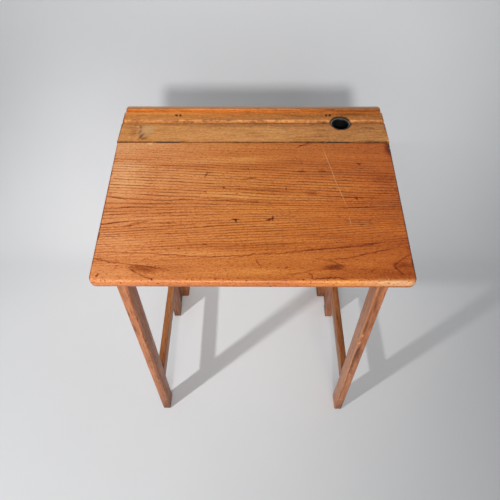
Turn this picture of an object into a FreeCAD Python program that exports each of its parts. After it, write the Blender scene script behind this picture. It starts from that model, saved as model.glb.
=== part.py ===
import FreeCAD
import Part
import math
import os

from FreeCAD import Vector

# School desk with a lift lid, in millimetres.
# The origin is on the floor under the middle of the desk. +X is the sitter's right,
# -Y faces the sitter and +Z is up.

# Overall
desk_width = 610.0            # lid and pen rail, side to side
desk_depth = 475.0            # nose of the lid to the back of the well
rail_top_height = 736.0       # floor to the top of the pen rail
lid_slope = 5.5               # fall of the lid towards the sitter, in degrees
board_thickness = 19.0        # lid and pen rail

# Lid
lid_nose_radius = 7.5         # rounding of the lid's front and end edges, above
lid_under_radius = 2.5        # rounding of the same edges, below
lid_corner_radius = 14.0      # rounding of the lid's front corners, seen from above
arris_radius = 0.8            # rounding of the two edges that meet over the hinges
batten_width = 40.0
batten_thickness = 16.0
batten_from_end = 155.0       # lid end to the middle of a lid batten
batten_back_margin = 28.0     # hinge axis to the back end of a lid batten
batten_front_room = 14.0      # front end of a lid batten to the front board
batten_end_chamfer = 8.0

# Pen rail, its raised back lip and the back of the well
rail_depth = 106.5
rail_end_radius = 3.0
groove_radius = 7.2           # round bottom of the pen groove
groove_depth = 5.5
groove_from_back = 35.0       # middle of the pen groove to the lip
back_board_thickness = 12.0   # lip and well back, one above the other
lip_height = 9.0              # rise of the lip above the pen rail
lip_end_inset = 4.0           # ends of the lip inside the ends of the pen rail
lip_corner_radius = 8.0
lip_arris_radius = 2.0
rail_batten_depth = 18.0
rail_batten_height = 21.0

# Inkwell pot
inkwell_from_end = 102.5      # middle of the pot to the right end of the pen rail
inkwell_from_back = 40.0      # middle of the pot to the lip
pot_flange_radius = 23.0
pot_flange_thickness = 4.0
pot_body_radius = 19.5
pot_wall = 1.6
pot_base = 3.0
pot_height = 42.0             # underside to the top of the flange
pot_rounding = 1.5
pot_recess = 3.0              # top of the flange below the top of the pen rail
pot_room = 0.4                # gap all round between the pot and its hole

# Legs and end frames
leg_thickness = 21.0          # side to side
leg_depth = 42.0              # front to back
leg_end_overhang = 39.5       # lid end to the outer face of a leg
front_leg_setback = 23.5      # nose of the lid to the front of the front legs
rear_leg_from_back = 134.0    # front of the rear legs to the back of the well
foot_chamfer = 3.0
stretcher_thickness = 18.0
stretcher_height = 44.0
stretcher_middle_height = 162.0
tenon_thickness = 8.0
tenon_shoulder = 7.0          # step above and below a tenon
tenon_length = 18.0
mortise_end_room = 1.0

# Rear corner posts, rebated on their inner front corner
post_flange_width = 42.0      # across the back
post_flange_depth = 40.0
post_cheek_thickness = 18.0   # limb that lies behind the rear leg

# Book well under the lid
well_front_thickness = 18.0
well_depth = 134.0            # top of the pen rail to the underside of the well
well_bottom_thickness = 6.0
bearer_size = 15.0
corner_block_leg = 28.0
corner_block_height = 42.0

# Dowels between the front legs and the front board
dowel_radius = 4.0
dowel_in_leg = 20.0
dowel_in_board = 13.0
dowel_low_rise = 18.0         # lower dowel above the underside of the front board
dowel_spacing = 36.0

# Butt hinges
hinge_gap = 4.2               # space between lid and pen rail
hinge_from_end = 115.0        # lid end to the middle of a hinge
hinge_length = 50.0
hinge_leaf_drop = 13.0        # lower edge of a leaf below the hinge axis
hinge_leaf_thickness = 1.2
hinge_barrel_radius = 1.8
hinge_sink = 0.2              # top of the barrel below the top of the pen rail
hinge_pin_radius = 0.9
hinge_pin_head_radius = 1.5
hinge_pin_head = 0.8
knuckle_count = 5
knuckle_gap = 0.3
knuckle_notch = 0.5           # room round the other leaf's knuckles
running_clearance = 0.05

# Screws and nails
fastener_clearance = 0.05
hinge_screw_head = 2.4
hinge_screw_shank = 1.2
hinge_screw_countersink = 1.1
hinge_screw_length = 14.0
hinge_screw_spacing = 16.0
hinge_screw_drop = 7.6        # screw line below the hinge axis
batten_screw_head = 3.6
batten_screw_shank = 1.9
batten_screw_countersink = 2.2
batten_screw_length = 28.0
batten_screw_end = 30.0       # end screw to the end of a lid batten
back_screw_head = 3.4
back_screw_shank = 1.8
back_screw_countersink = 2.0
back_screw_length = 32.0
back_screw_low_rise = 18.0    # lowest screw above the lower edge of the well back
back_screw_spacing = 38.0
nail_head_radius = 2.2
nail_head_thickness = 1.2
nail_shank_radius = 1.1
nail_length = 36.0
nail_from_post = 47.5         # middle of a nail pair to the rear post
nail_pair_spacing = 9.0
nail_from_back = 11.0         # nails to the lip

# Places that follow from the sizes above
half_width = desk_width / 2
front_y = -desk_depth / 2
back_y = desk_depth / 2
slope = math.radians(lid_slope)
board_front_y = back_y - back_board_thickness
rail_front_y = board_front_y - rail_depth
rail_under_z = rail_top_height - board_thickness
hinge_y = rail_front_y - hinge_gap / 2
lid_top = hinge_barrel_radius + hinge_sink    # above the hinge axis, square to the lid
hinge_z = rail_top_height - lid_top
hinge_centre_x = half_width - hinge_from_end
lid_under = lid_top - board_thickness
frame_outer_x = half_width - leg_end_overhang
frame_inner_x = frame_outer_x - leg_thickness
front_leg_y = front_y + front_leg_setback
well_front_y = front_leg_y + leg_depth
well_inside_y = well_front_y + well_front_thickness
rear_leg_y = back_y - rear_leg_from_back
post_y = rear_leg_y + leg_depth
post_flange_y = board_front_y - post_flange_depth
post_inner_x = frame_outer_x - post_flange_width
well_underside_z = rail_top_height - well_depth
well_floor_z = well_underside_z + well_bottom_thickness
bearer_top_z = well_floor_z + bearer_size
inkwell_x = half_width - inkwell_from_end
inkwell_y = board_front_y - inkwell_from_back
groove_y = board_front_y - groove_from_back
nail_pair_x = post_inner_x - nail_from_post
batten_centre_x = half_width - batten_from_end
nose_axis_z = lid_top - lid_nose_radius
nose_reach = (hinge_y - front_y - lid_nose_radius - nose_axis_z * math.sin(slope)) / math.cos(slope)
lid_length = nose_reach + lid_nose_radius
beyond = desk_depth           # longer than any cut needs


def block(x0, x1, y0, y1, z0, z1):
    return Part.makeBox(x1 - x0, y1 - y0, z1 - z0, Vector(x0, y0, z0))


def other_side(shape):
    """The same piece on the left of the desk."""
    return shape.mirror(Vector(0, 0, 0), Vector(1, 0, 0))


def on_lid(shape):
    """Turns a piece drawn on a level lid, with the hinge axis at zero, to where it lies."""
    placed = shape.copy()
    placed.rotate(Vector(0, 0, 0), Vector(1, 0, 0), lid_slope)
    placed.translate(Vector(0, hinge_y, hinge_z))
    return placed


def trim_to_lid(shape):
    """Cuts the top of a piece to the slope of the lid's underside."""
    lid_space = block(-half_width, half_width, -beyond, 0, lid_under, lid_under + beyond)
    return shape.cut(on_lid(lid_space))


def edges_where(shape, test):
    return [edge for edge in shape.Edges if test(edge.BoundBox)]


def round_arris(y_side, y, z):
    """Cutter for a rounded upper edge along X at (y, z), with the wood on the y_side of it."""
    reach = arris_radius * y_side
    corner = block(-half_width, half_width, min(y, y + reach), max(y, y + reach), z - arris_radius, z)
    bead = Part.makeCylinder(arris_radius, desk_width, Vector(-half_width, y + reach, z - arris_radius),
                             Vector(1, 0, 0))
    return corner.cut(bead)


def countersunk(point, direction, head, shank, countersink, length, room=0.0):
    """A countersunk screw along direction, or its hole when room is given."""
    cone = Part.makeCone(head + room, shank + room, countersink, point, direction)
    stem = Part.makeCylinder(shank + room, length + room, point, direction)
    return cone.fuse(stem).removeSplitter()


def nail(x, y, room=0.0):
    """A flat-headed nail driven down flush with the pen rail, or its hole."""
    head = Part.makeCylinder(nail_head_radius + room, nail_head_thickness + room,
                             Vector(x, y, rail_top_height), Vector(0, 0, -1))
    stem = Part.makeCylinder(nail_shank_radius + room, nail_length + room,
                             Vector(x, y, rail_top_height), Vector(0, 0, -1))
    return head.fuse(stem).removeSplitter()


def hinge_screw(x, y, z, direction, room=0.0):
    return countersunk(Vector(x, y, z), direction, hinge_screw_head, hinge_screw_shank,
                       hinge_screw_countersink, hinge_screw_length, room)


def hinge_screw_xs():
    return [side * hinge_centre_x + step * hinge_screw_spacing for side in (-1, 1) for step in (-1, 0, 1)]


def rail_hinge_screws(room=0.0):
    face_y = hinge_y + hinge_gap / 2 - hinge_leaf_thickness
    return [hinge_screw(x, face_y, hinge_z - hinge_screw_drop, Vector(0, 1, 0), room) for x in hinge_screw_xs()]


def lid_hinge_screws(room=0.0):
    face_y = hinge_leaf_thickness - hinge_gap / 2
    return [hinge_screw(x, face_y, -hinge_screw_drop, Vector(0, -1, 0), room) for x in hinge_screw_xs()]


def rail_nails(room=0.0):
    y = board_front_y - nail_from_back
    xs = [side * nail_pair_x + step * nail_pair_spacing / 2 for side in (-1, 1) for step in (-1, 1)]
    return [nail(x, y, room) for x in xs]


def well_back_screws(room=0.0):
    middle_x = (post_inner_x + frame_outer_x) / 2
    screws = []
    for side in (-1, 1):
        for step in range(3):
            z = well_underside_z + back_screw_low_rise + step * back_screw_spacing
            screws.append(countersunk(Vector(side * middle_x, back_y, z), Vector(0, -1, 0), back_screw_head,
                                      back_screw_shank, back_screw_countersink, back_screw_length, room))
    return screws


def batten_span():
    """Front and back ends of a lid batten, measured from the hinge axis along the lid."""
    return (well_inside_y + batten_front_room - hinge_y) / math.cos(slope), -batten_back_margin


def lid_batten_screws(room=0.0):
    front, back = batten_span()
    ys = [front + batten_screw_end, (front + back) / 2, back - batten_screw_end]
    return [countersunk(Vector(side * batten_centre_x, y, lid_under - batten_thickness), Vector(0, 0, 1),
                        batten_screw_head, batten_screw_shank, batten_screw_countersink,
                        batten_screw_length, room) for side in (-1, 1) for y in ys]


def leg_dowels(room=0.0):
    middle_x = (frame_inner_x + frame_outer_x) / 2
    dowels = []
    for side in (-1, 1):
        for step in (0, 1):
            start = Vector(side * middle_x, well_front_y - dowel_in_leg - room,
                           well_floor_z + dowel_low_rise + step * dowel_spacing)
            length = dowel_in_leg + dowel_in_board + 2 * room
            dowels.append(Part.makeCylinder(dowel_radius + room, length, start, Vector(0, 1, 0)))
    return dowels


def drilled(shape, holes):
    return shape.cut(Part.makeCompound(holes))


def tenon(y_face, direction, z0, z1, room=0.0):
    """Tongue on the end of a stretcher or a well side, or the mortise for it."""
    middle_x = frame_inner_x + stretcher_thickness / 2
    y_end = y_face + direction * (tenon_length + room)
    return block(middle_x - tenon_thickness / 2, middle_x + tenon_thickness / 2, min(y_face, y_end),
                 max(y_face, y_end), z0 + tenon_shoulder, z1 - tenon_shoulder)


def stretcher_levels():
    return stretcher_middle_height - stretcher_height / 2, stretcher_middle_height + stretcher_height / 2


def side_tenon_levels():
    """The well side's tenon keeps below the slope of its top edge."""
    return well_underside_z, rail_under_z - tenon_shoulder


def foot_blank(x0, x1, y0, y1, height):
    """A square upright with the lower edges of its foot worn to a chamfer."""
    blank = block(x0, x1, y0, y1, 0, height)
    return blank.makeChamfer(foot_chamfer, edges_where(blank, lambda box: box.ZMax < foot_chamfer))


def front_leg():
    leg = foot_blank(frame_inner_x, frame_outer_x, front_leg_y, well_front_y, rail_top_height)
    leg = trim_to_lid(leg).cut(tenon(well_front_y, -1, *stretcher_levels(), mortise_end_room))
    return drilled(leg, leg_dowels(fastener_clearance))


def rear_leg():
    leg = foot_blank(frame_inner_x, frame_outer_x, rear_leg_y, post_y, rail_under_z)
    leg = leg.cut(tenon(rear_leg_y, 1, *stretcher_levels(), mortise_end_room))
    return trim_to_lid(leg.cut(tenon(rear_leg_y, 1, *side_tenon_levels(), mortise_end_room)))


def side_stretcher():
    low, high = stretcher_levels()
    bar = block(frame_inner_x, frame_inner_x + stretcher_thickness, well_front_y, rear_leg_y, low, high)
    front_tenon = tenon(well_front_y, -1, low, high)
    back_tenon = tenon(rear_leg_y, 1, low, high)
    return bar.multiFuse([front_tenon, back_tenon]).removeSplitter()


def rear_post():
    post = foot_blank(post_inner_x, frame_outer_x, post_y, board_front_y, rail_under_z)
    rebate = block(post_inner_x, frame_outer_x - post_cheek_thickness, post_y, post_flange_y, 0, rail_under_z)
    return drilled(post.cut(rebate), well_back_screws(fastener_clearance))


def well_front():
    board = block(-frame_outer_x, frame_outer_x, well_front_y, well_inside_y, well_floor_z, rail_top_height)
    return drilled(trim_to_lid(board), leg_dowels(fastener_clearance))


def well_side():
    side = block(frame_inner_x, frame_outer_x, well_inside_y, rear_leg_y, well_underside_z, rail_top_height)
    return trim_to_lid(side).fuse(tenon(rear_leg_y, 1, *side_tenon_levels())).removeSplitter()


def well_bottom():
    panel = block(-frame_inner_x, frame_inner_x, well_front_y, board_front_y, well_underside_z, well_floor_z)
    notch = block(post_inner_x, frame_outer_x, post_flange_y, board_front_y, well_underside_z, well_floor_z)
    return panel.cut(notch).cut(other_side(notch))


def bottom_bearer():
    return block(frame_inner_x - bearer_size, frame_inner_x, well_inside_y, post_y, well_floor_z, bearer_top_z)


def corner_block():
    corner = Vector(frame_inner_x, well_inside_y, bearer_top_z)
    along_front = corner - Vector(corner_block_leg, 0, 0)
    along_side = corner + Vector(0, corner_block_leg, 0)
    outline = Part.makePolygon([corner, along_side, along_front, corner])
    return Part.Face(outline).extrude(Vector(0, 0, corner_block_height))


def pen_rail():
    rail = block(-half_width, half_width, rail_front_y, board_front_y, rail_under_z, rail_top_height)
    ends = edges_where(rail, lambda box: box.XLength < 1 and box.ZMin > rail_under_z + 1)
    rail = rail.makeFillet(rail_end_radius, ends).cut(round_arris(1, rail_front_y, rail_top_height))
    groove = Part.makeCylinder(groove_radius, desk_width,
                               Vector(-half_width, groove_y, rail_top_height - groove_depth + groove_radius),
                               Vector(1, 0, 0))
    top = Vector(inkwell_x, inkwell_y, rail_top_height)
    seat = Part.makeCylinder(pot_flange_radius + pot_room, pot_recess + pot_flange_thickness, top, Vector(0, 0, -1))
    hole = Part.makeCylinder(pot_body_radius + pot_room, board_thickness, top, Vector(0, 0, -1))
    rail = rail.cut(groove).cut(seat.fuse(hole))
    return drilled(rail, rail_nails(fastener_clearance) + rail_hinge_screws(fastener_clearance))


def rail_batten():
    batten = block(-post_inner_x, post_inner_x, board_front_y - rail_batten_depth, board_front_y,
                   rail_under_z - rail_batten_height, rail_under_z)
    return drilled(batten, rail_nails(fastener_clearance))


def back_lip():
    reach = half_width - lip_end_inset
    top = rail_top_height + lip_height
    lip = block(-reach, reach, board_front_y, back_y, rail_under_z, top)
    corners = edges_where(lip, lambda box: box.XLength < 1 and box.ZLength < 1 and box.ZMin > rail_top_height)
    lip = lip.makeFillet(lip_corner_radius, corners)
    crest = edges_where(lip, lambda box: box.YLength < 1 and box.ZMin > top - lip_corner_radius - 1)
    return lip.makeFillet(lip_arris_radius, crest)


def well_back():
    board = block(-frame_outer_x, frame_outer_x, board_front_y, back_y, well_underside_z, rail_under_z)
    return drilled(board, well_back_screws(fastener_clearance))


def inkwell_pot():
    top = rail_top_height - pot_recess
    base = top - pot_height
    bore = pot_body_radius - pot_wall
    outline = [(0, base), (pot_body_radius, base), (pot_body_radius, top - pot_flange_thickness),
               (pot_flange_radius, top - pot_flange_thickness), (pot_flange_radius, top), (bore, top),
               (bore, base + pot_base), (0, base + pot_base), (0, base)]
    points = [Vector(inkwell_x + r, inkwell_y, z) for r, z in outline]
    pot = Part.Face(Part.makePolygon(points)).revolve(Vector(inkwell_x, inkwell_y, 0), Vector(0, 0, 1), 360)
    rim = edges_where(pot, lambda box: box.ZLength < 1 and box.XLength > 1 and box.ZMin > top - 1)
    foot = edges_where(pot, lambda box: box.ZLength < 1 and box.XLength > 2 * bore and box.ZMax < base + 1)
    return pot.makeFillet(pot_rounding, rim + foot)


def lid_board():
    board = block(-half_width, half_width, -lid_length, -hinge_gap / 2, lid_under, lid_top)
    corners = edges_where(board, lambda box: box.ZLength > 1 and box.YMax < 1 - lid_length)
    board = board.makeFillet(lid_corner_radius, corners)
    above = edges_where(board, lambda box: box.ZMin > lid_top - 1 and box.YMin < -hinge_gap)
    board = board.makeFillet(lid_nose_radius, above)
    below = edges_where(board, lambda box: box.ZMax < lid_under + 1 and box.YMin < -hinge_gap)
    board = board.makeFillet(lid_under_radius, below)
    board = board.cut(round_arris(-1, -hinge_gap / 2, lid_top))
    return drilled(board, lid_hinge_screws(fastener_clearance) + lid_batten_screws(fastener_clearance))


def lid_batten():
    front, back = batten_span()
    low = lid_under - batten_thickness
    batten = block(batten_centre_x - batten_width / 2, batten_centre_x + batten_width / 2, front, back, low, lid_under)
    ends = edges_where(batten, lambda box: box.XLength > 1 and box.ZMax < low + 1 and box.YLength < 1)
    return drilled(batten.makeChamfer(batten_end_chamfer, ends), lid_batten_screws(fastener_clearance))


def knuckle_spans():
    """Start and end of each hinge knuckle along X, from one end of the barrel."""
    pitch = hinge_length / knuckle_count
    start = hinge_centre_x - hinge_length / 2
    return [(start + i * pitch + knuckle_gap / 2, start + (i + 1) * pitch - knuckle_gap / 2)
            for i in range(knuckle_count)]


def hinge_leaf(y_side, own_knuckles, holes):
    """Leaf of the right-hand hinge about an axis at zero, on the y_side of it."""
    outer = y_side * hinge_gap / 2
    inner = outer - y_side * hinge_leaf_thickness
    shoulder = -hinge_barrel_radius - knuckle_notch
    plate = block(hinge_centre_x - hinge_length / 2, hinge_centre_x + hinge_length / 2, min(outer, inner),
                  max(outer, inner), -hinge_leaf_drop, shoulder)
    knuckles = []
    bores = []
    for index, (x0, x1) in enumerate(knuckle_spans()):
        if index % 2 == own_knuckles:
            barrel = Part.makeCylinder(hinge_barrel_radius, x1 - x0, Vector(x0, 0, 0), Vector(1, 0, 0))
            edge = y_side * hinge_barrel_radius
            knuckles += [barrel, block(x0, x1, min(inner, edge), max(inner, edge), shoulder, 0)]
            bores.append(Part.makeCylinder(hinge_pin_radius + running_clearance, x1 - x0,
                                           Vector(x0, 0, 0), Vector(1, 0, 0)))
    leaf = plate.multiFuse(knuckles).removeSplitter()
    return drilled(leaf, bores + holes)


def rail_leaf():
    shift = Vector(0, hinge_y, hinge_z)
    holes = [hole.translated(-shift) for hole in rail_hinge_screws(fastener_clearance)]
    return hinge_leaf(1, 0, holes).translated(shift)


def lid_leaf():
    return hinge_leaf(-1, 1, lid_hinge_screws(fastener_clearance))


def hinge_pin():
    start = hinge_centre_x - hinge_length / 2
    axis = Vector(1, 0, 0)
    stem = Part.makeCylinder(hinge_pin_radius, hinge_length, Vector(start, hinge_y, hinge_z), axis)
    ends = [start + knuckle_gap / 2 - hinge_pin_head, start + hinge_length - knuckle_gap / 2]
    heads = [Part.makeCylinder(hinge_pin_head_radius, hinge_pin_head, Vector(x, hinge_y, hinge_z), axis) for x in ends]
    return stem.multiFuse(heads).removeSplitter()


def save(node, shape):
    shape.exportStep("parts/" + node + ".step")


def save_pair(node, right_piece):
    save(node + "_right", right_piece)
    save(node + "_left", other_side(right_piece))


os.makedirs("parts", exist_ok=True)

save_pair("front_leg", front_leg())
save_pair("rear_leg", rear_leg())
save_pair("side_stretcher", side_stretcher())
save_pair("rear_post", rear_post())
save_pair("well_side", well_side())
save_pair("bottom_bearer", bottom_bearer())
save_pair("corner_block", corner_block())
save("well_front", well_front())
save("well_bottom", well_bottom())
save("well_back", well_back())
save("back_lip", back_lip())
save("pen_rail", pen_rail())
save("rail_batten", rail_batten())
save("leg_dowels", Part.makeCompound(leg_dowels()))
save("rail_nails", Part.makeCompound(rail_nails()))
save("well_back_screws", Part.makeCompound(well_back_screws()))
save_pair("hinge_rail_leaf", rail_leaf())
save_pair("hinge_pin", hinge_pin())
save("rail_hinge_screws", Part.makeCompound(rail_hinge_screws()))
save_pair("hinge_lid_leaf", on_lid(lid_leaf()))
save("lid_hinge_screws", on_lid(Part.makeCompound(lid_hinge_screws())))
save("lid_board", on_lid(lid_board()))
save_pair("lid_batten", on_lid(lid_batten()))
save("lid_batten_screws", on_lid(Part.makeCompound(lid_batten_screws())))
save("inkwell_pot", inkwell_pot())
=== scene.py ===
import math

import bmesh
import bpy
from mathutils import Matrix, Vector


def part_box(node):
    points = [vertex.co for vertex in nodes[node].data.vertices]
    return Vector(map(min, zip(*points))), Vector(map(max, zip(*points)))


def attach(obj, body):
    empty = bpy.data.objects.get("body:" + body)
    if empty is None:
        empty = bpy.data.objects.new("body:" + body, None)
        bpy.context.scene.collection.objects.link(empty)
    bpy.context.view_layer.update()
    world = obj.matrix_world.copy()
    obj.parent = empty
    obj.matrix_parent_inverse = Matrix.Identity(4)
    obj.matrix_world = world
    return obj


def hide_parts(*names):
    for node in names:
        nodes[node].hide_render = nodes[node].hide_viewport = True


# School desk with a lift lid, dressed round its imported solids, in metres.
# +X is the sitter's right, -Y faces the sitter and +Z is up.
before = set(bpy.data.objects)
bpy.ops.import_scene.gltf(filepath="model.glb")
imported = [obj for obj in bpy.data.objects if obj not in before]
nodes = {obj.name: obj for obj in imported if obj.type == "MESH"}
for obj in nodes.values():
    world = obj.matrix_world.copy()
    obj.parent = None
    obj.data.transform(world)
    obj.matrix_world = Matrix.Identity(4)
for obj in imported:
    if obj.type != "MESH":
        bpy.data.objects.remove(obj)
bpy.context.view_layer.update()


# Legs and rear posts: the uprights of the two end frames.
# Red-brown varnished beech, sawn to flat stock, planed and sanded, with the grain upright.
# The front legs are dowelled to the well, and the posts stand behind the rear legs.

mm_per_m = 1000


def linear(hex_colour):
    """A colour written as sRGB hex, as Blender wants it."""
    parts = [int(hex_colour[i:i + 2], 16) / 255 for i in (1, 3, 5)]
    return [c / 12.92 if c <= 0.04045 else ((c + 0.055) / 1.055) ** 2.4 for c in parts] + [1.0]


def result(node):
    """The first output of a node that its settings leave open."""
    return next(socket for socket in node.outputs if socket.enabled)


def add(tree, kind, links=None, **settings):
    """Adds one node, with its settings, and its inputs as values or as links from other nodes."""
    made = tree.nodes.new(kind if "Node" in kind else "ShaderNode" + kind)
    for key, value in settings.items():
        setattr(made, key, value)
    open_inputs = [socket for socket in made.inputs if socket.enabled]
    for key, value in (links or {}).items():
        if isinstance(key, int):
            socket = open_inputs[key]
        else:
            socket = next(s for s in open_inputs if s.name == key)
        if isinstance(value, bpy.types.Node):
            value = result(value)
        if isinstance(value, bpy.types.NodeSocket):
            tree.links.new(value, socket)
        else:
            socket.default_value = value
    return made


def new_tree(name):
    """A new material and its empty node tree."""
    material = bpy.data.materials.new(name)
    material.use_nodes = True
    material.node_tree.nodes.clear()
    return material, material.node_tree


def dress(names, material):
    """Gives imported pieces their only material."""
    for name in names:
        nodes[name].data.materials.clear()
        nodes[name].data.materials.append(material)


def spread(ramp, colours):
    """Sets colours at even steps along a colour ramp."""
    stops = ramp.color_ramp.elements
    for i, colour in enumerate(colours):
        stop = stops[i] if i < len(stops) else stops.new(1.0)
        stop.position = i / (len(colours) - 1)
        stop.color = linear(colour)


def timber(name, turn, palette, layers, seed, middle=0.42, pore_mm=(33, 3.1), pore_depth=0.3,
           roughness=0.42, specular=0.5):
    """Varnished wood. turn brings the grain onto X, and palette runs from the palest to the
    darkest colour. A layer is the length and width of its streaks in mm, and its weight. The eye
    gets long soft bands, finer streaks and short dark pores, under a satin film that is duller in
    the pores."""
    material, tree = new_tree(name)
    place = add(tree, "TexCoord").outputs["Object"]
    with_grain = add(tree, "Mapping", {"Vector": place, "Rotation": turn})
    # Noise is 0.5 on average, so the mean depth stays at middle. Each layer is cut from another
    # part of it.
    depth = middle - 0.5 * sum(weight for _, _, weight in layers)
    for i, (length, width, weight) in enumerate(layers):
        across = mm_per_m / width
        drawn = add(tree, "Mapping", {"Vector": with_grain,
                                      "Location": (seed + 7.3 * i, seed, 2.1 * i),
                                      "Scale": (mm_per_m / length, across, across)})
        streaks = add(tree, "TexNoise", {"Vector": drawn, "Scale": 1.0, "Detail": 2.0,
                                         "Roughness": 0.6})
        depth = add(tree, "Math", {0: streaks, 1: weight, 2: depth}, operation="MULTIPLY_ADD")
    # Real pores are a quarter of this width: drawn coarser so that they show.
    pore_length, pore_width = pore_mm
    across = mm_per_m / pore_width
    drawn = add(tree, "Mapping", {"Vector": with_grain, "Location": (seed, 3.0, 5.0),
                                  "Scale": (mm_per_m / pore_length, across, across)})
    pores = add(tree, "TexNoise", {"Vector": drawn, "Scale": 1.0, "Detail": 1.0})
    pore_rim, pore_heart = 0.56, 0.72
    dash = add(tree, "MapRange", {"Value": pores, "From Min": pore_rim, "From Max": pore_heart,
                                  "To Max": pore_depth})
    depth = add(tree, "Math", {0: depth, 1: dash}, operation="ADD")
    ramp = add(tree, "ValToRGB", {"Fac": depth})
    spread(ramp, palette)
    glossier, duller, grain_relief = 0.06, 0.12, 0.0004
    gloss = add(tree, "MapRange", {"Value": depth, "To Min": roughness - glossier,
                                   "To Max": roughness + duller})
    bump = add(tree, "Bump", {"Strength": 0.2, "Distance": grain_relief, "Height": depth},
               invert=True)
    shader = add(tree, "BsdfPrincipled", {"Base Color": ramp, "Roughness": gloss,
                                          "Specular IOR Level": specular, "Normal": bump})
    add(tree, "OutputMaterial", {"Surface": shader})
    return material, {"tree": tree, "place": place, "depth": depth, "ramp": ramp, "shader": shader}


def marks(tree, place, strokes, ragged=0.006):
    """Sum of soft strokes. A stroke is its middle X and Y, its turn from X in degrees, its half
    length and half width in mm, and how much it darkens. Their edges waver by up to half of
    ragged, and they reach so far up and down that the height of a point does not count."""
    flecks_per_m, top_height, reach = 110.0, 0.72, 5.0
    rough = add(tree, "TexNoise", {"Vector": place, "Scale": flecks_per_m, "Detail": 3.0})
    shift = add(tree, "VectorMath", {0: rough.outputs["Color"], 1: (0.5, 0.5, 0.5)},
                operation="SUBTRACT")
    loose = add(tree, "VectorMath", {0: shift, 1: (ragged, ragged, 0.0), 2: place},
                operation="MULTIPLY_ADD")
    total = 0.0
    for x, y, turn, half_length, half_width, dark in strokes:
        local = add(tree, "Mapping", {
            "Vector": loose, "Location": (x / mm_per_m, y / mm_per_m, top_height),
            "Rotation": (0.0, 0.0, math.radians(turn)),
            "Scale": (half_length / mm_per_m, half_width / mm_per_m, reach)},
            vector_type="TEXTURE")
        spot = add(tree, "TexGradient", {"Vector": local}, gradient_type="SPHERICAL")
        total = add(tree, "Math", {0: spot.outputs["Fac"], 1: dark, 2: total},
                    operation="MULTIPLY_ADD")
    return total


def eased(name, grain, radius, material):
    """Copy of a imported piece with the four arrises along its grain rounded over, which stands for
    the piece. grain is the number of the axis that the grain follows."""
    low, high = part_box(name)
    sides = [axis for axis in range(3) if axis != grain]
    weld, touching, shortest, straight = 1e-6, 1e-5, 0.01, 0.999
    flat_angle, crease_from = math.radians(1), math.radians(40)
    shape = bmesh.new()
    shape.from_mesh(nodes[name].data)
    bmesh.ops.remove_doubles(shape, verts=shape.verts, dist=weld)
    bmesh.ops.dissolve_limit(shape, angle_limit=flat_angle, verts=shape.verts, edges=shape.edges)
    corners = {v for v in shape.verts
               if all(min(v.co[i] - low[i], high[i] - v.co[i]) < touching for i in sides)}
    arrises = [e for e in shape.edges
               if corners.issuperset(e.verts) and e.calc_length() > shortest
               and abs((e.verts[1].co - e.verts[0].co).normalized()[grain]) > straight]
    bmesh.ops.bevel(shape, geom=arrises, offset=radius, segments=3, profile=0.5, affect="EDGES")
    mesh = bpy.data.meshes.new(name + "_eased")
    shape.to_mesh(mesh)
    shape.free()
    mesh.polygons.foreach_set("use_smooth", [True] * len(mesh.polygons))
    mesh.set_sharp_from_angle(angle=crease_from)
    mesh.materials.append(material)
    piece = bpy.data.objects.new(name + "_eased", mesh)
    bpy.context.scene.collection.objects.link(piece)
    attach(piece, "desk")
    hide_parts(name)
    dress([name], material)


grain_up = (0.0, math.radians(90), 0.0)
upright_axis = 2
leg_palette = ("#D49063", "#BA744A", "#8D522E", "#52301B")
leg_layers = ((300, 40, 0.7), (90, 8, 0.7), (14, 5, 0.35))
leg_arris = 0.0024


def leg_timber(name, seed, shade, strokes=(), painted_light_inside=0.0):
    """Leg wood, darker by shade, that greys towards its dirty foot. Strokes are knocks on its
    front, by X and Z, and the last argument is how much its inner face is painted paler: a painted
    highlight where the key light falls on that face."""
    material, leg = timber(name, grain_up, leg_palette, leg_layers, seed, middle=0.36 + shade,
                           specular=0.3)
    tree = leg["tree"]
    at = add(tree, "SeparateXYZ", {"Vector": leg["place"]}).outputs
    depth = leg["depth"]
    # Dirt gathers slowly down the whole leg, and again over the last 60 mm.
    for clean_z, dirt in ((0.60, 0.14), (0.06, 0.2)):
        soil = add(tree, "MapRange", {"Value": at["Z"], "From Min": clean_z, "From Max": 0.0,
                                      "To Max": dirt})
        depth = add(tree, "Math", {0: depth, 1: soil}, operation="ADD")
    if strokes:
        upright = add(tree, "Mapping", {"Vector": leg["place"],
                                        "Rotation": (math.radians(-90), 0.0, 0.0)})
        knocks = marks(tree, upright, strokes)
        depth = add(tree, "Math", {0: depth, 1: knocks}, operation="ADD")
    # Painted light: the inner face is made paler where the key lamp at the left falls on it.
    if painted_light_inside:
        front_x, inner_x = 0.2475, 0.2450
        inside = add(tree, "MapRange", {"Value": at["X"], "From Min": front_x,
                                        "From Max": inner_x, "To Max": -painted_light_inside})
        depth = add(tree, "Math", {0: depth, 1: inside}, operation="ADD")
    tree.links.new(result(depth), leg["ramp"].inputs["Fac"])
    return material


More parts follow.
